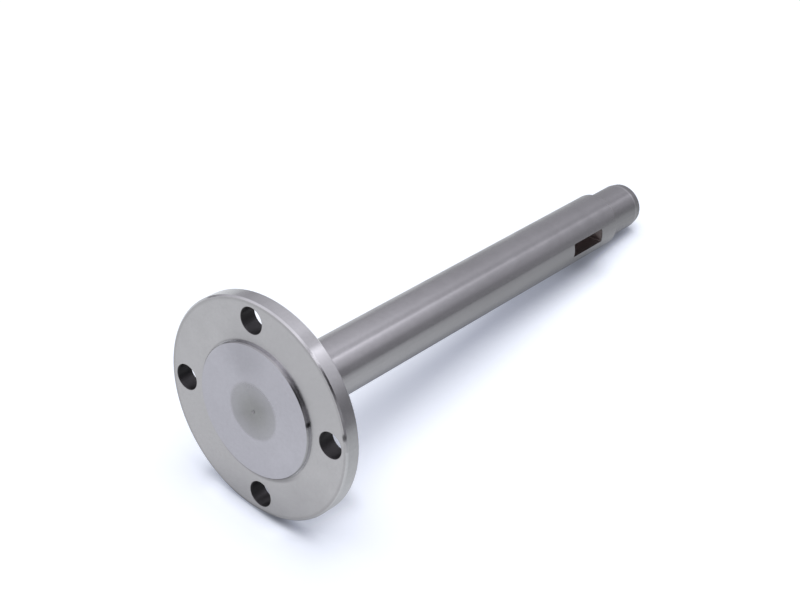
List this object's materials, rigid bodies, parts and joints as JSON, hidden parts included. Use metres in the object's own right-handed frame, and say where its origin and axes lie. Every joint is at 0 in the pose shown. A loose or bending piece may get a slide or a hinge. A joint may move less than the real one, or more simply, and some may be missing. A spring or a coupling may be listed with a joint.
{
  "type": "flanged clutch shaft",
  "caption": "Turned steel shaft with a round bolted flange and centring spigot at one end, a cross slot through the journal and a stepped tip at the other.",
  "frame": {"origin": "centre of the spigot's face, which the shaft stands on", "axes": "+Z along the shaft from the flange to the tip, +X along the cross slot and through one bolt hole, +Y through the next bolt hole"},
  "size_m": [0.073, 0.073, 0.1979],
  "materials": {
    "ground_steel": "turned and ground bare steel, faced flange, duller dished centre"
  },
  "bodies": {
    "root": {"clutch_shaft": "ground_steel"}
  },
  "joints": []
}
